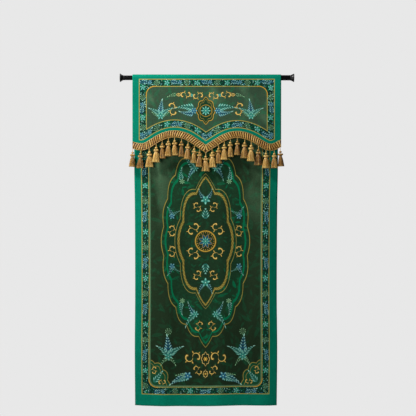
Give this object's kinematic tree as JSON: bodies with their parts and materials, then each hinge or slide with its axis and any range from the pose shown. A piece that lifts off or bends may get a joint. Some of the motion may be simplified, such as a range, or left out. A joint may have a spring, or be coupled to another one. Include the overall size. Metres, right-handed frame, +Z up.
{
  "type": "velvet door curtain with a tasselled valance on a telescopic tension rod",
  "caption": "Flat printed velvet door curtain with an arched valance, gold braid and a tassel fringe, hung by its sleeve on a black telescopic tension rod.",
  "frame": {"origin": "middle of the rod's axis between its two end faces, as the curtain hangs", "axes": "+X to the right along the rod as seen from the room, -Y towards the room, +Z up"},
  "size_m": [1.05, 0.0684, 2.0051],
  "materials": {
    "panel_velvet": "short-pile velvet printed in dark green with an emerald border, gold lines and a floral band",
    "valance_velvet": "short-pile velvet printed to match the panel",
    "gold_braid": "ribbed old-gold furnishing braid",
    "gold_tassel": "old-gold rayon yarn",
    "black_tube": "satin black paint",
    "black_rubber": "black, slightly glossy"
  },
  "bodies": {
    "curtain_and_outer_tube": {"main_panel": "panel_velvet", "valance": "valance_velvet", "braid": "gold_braid", "tassel_01": "gold_tassel", "tassel_02": "gold_tassel", "tassel_03": "gold_tassel", "tassel_04": "gold_tassel", "tassel_05": "gold_tassel", "tassel_06": "gold_tassel", "tassel_07": "gold_tassel", "tassel_08": "gold_tassel", "tassel_09": "gold_tassel", "tassel_10": "gold_tassel", "tassel_11": "gold_tassel", "tassel_12": "gold_tassel", "tassel_13": "gold_tassel", "tassel_14": "gold_tassel", "tassel_15": "gold_tassel", "tassel_16": "gold_tassel", "tassel_17": "gold_tassel", "tassel_18": "gold_tassel", "tassel_19": "gold_tassel", "tassel_20": "gold_tassel", "tassel_21": "gold_tassel", "tassel_22": "gold_tassel", "tassel_23": "gold_tassel", "rod_outer_tube": "black_tube", "end_cap_right": "black_rubber"},
    "inner_tube_and_left_foot": {"rod_inner_tube": "black_tube", "end_cap_left": "black_rubber"}
  },
  "joints": [
    {"name": "rod_slide", "type": "slide", "parent": "curtain_and_outer_tube", "child": "inner_tube_and_left_foot", "axis": [-1, 0, 0], "range_m": [-0.035, 0.14]}
  ]
}
